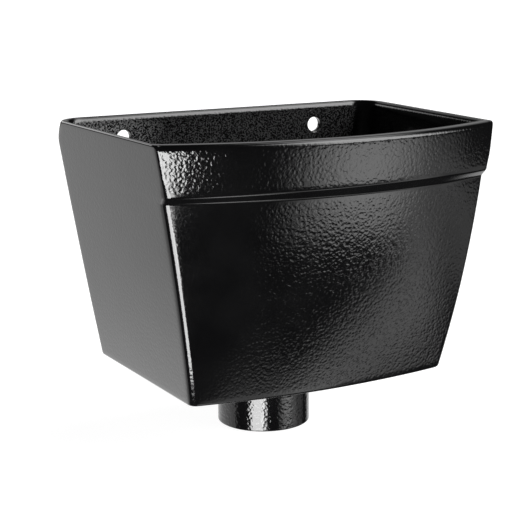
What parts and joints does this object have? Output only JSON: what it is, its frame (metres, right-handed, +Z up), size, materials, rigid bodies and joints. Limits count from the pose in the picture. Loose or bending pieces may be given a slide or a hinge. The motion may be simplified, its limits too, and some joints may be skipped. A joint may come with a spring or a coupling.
{
  "type": "downpipe hopper head",
  "caption": "Flat-backed rainwater hopper head: open tapering box with a bowed front, a proud fascia band, fixing holes in the back and a round outlet spigot.",
  "frame": {"origin": "on the flat back face that meets the wall, midway between the two fixing holes", "axes": "+Z up, +Y into the wall, +X along the wall to the right seen from the front; the bowed front looks along -Y"},
  "size_m": [0.2486, 0.1877, 0.2103],
  "materials": {
    "black_coat": "semi-gloss black textured powder coat with a fine wrinkled grain"
  },
  "bodies": {
    "root": {"hopper_casting": "black_coat"}
  },
  "joints": []
}
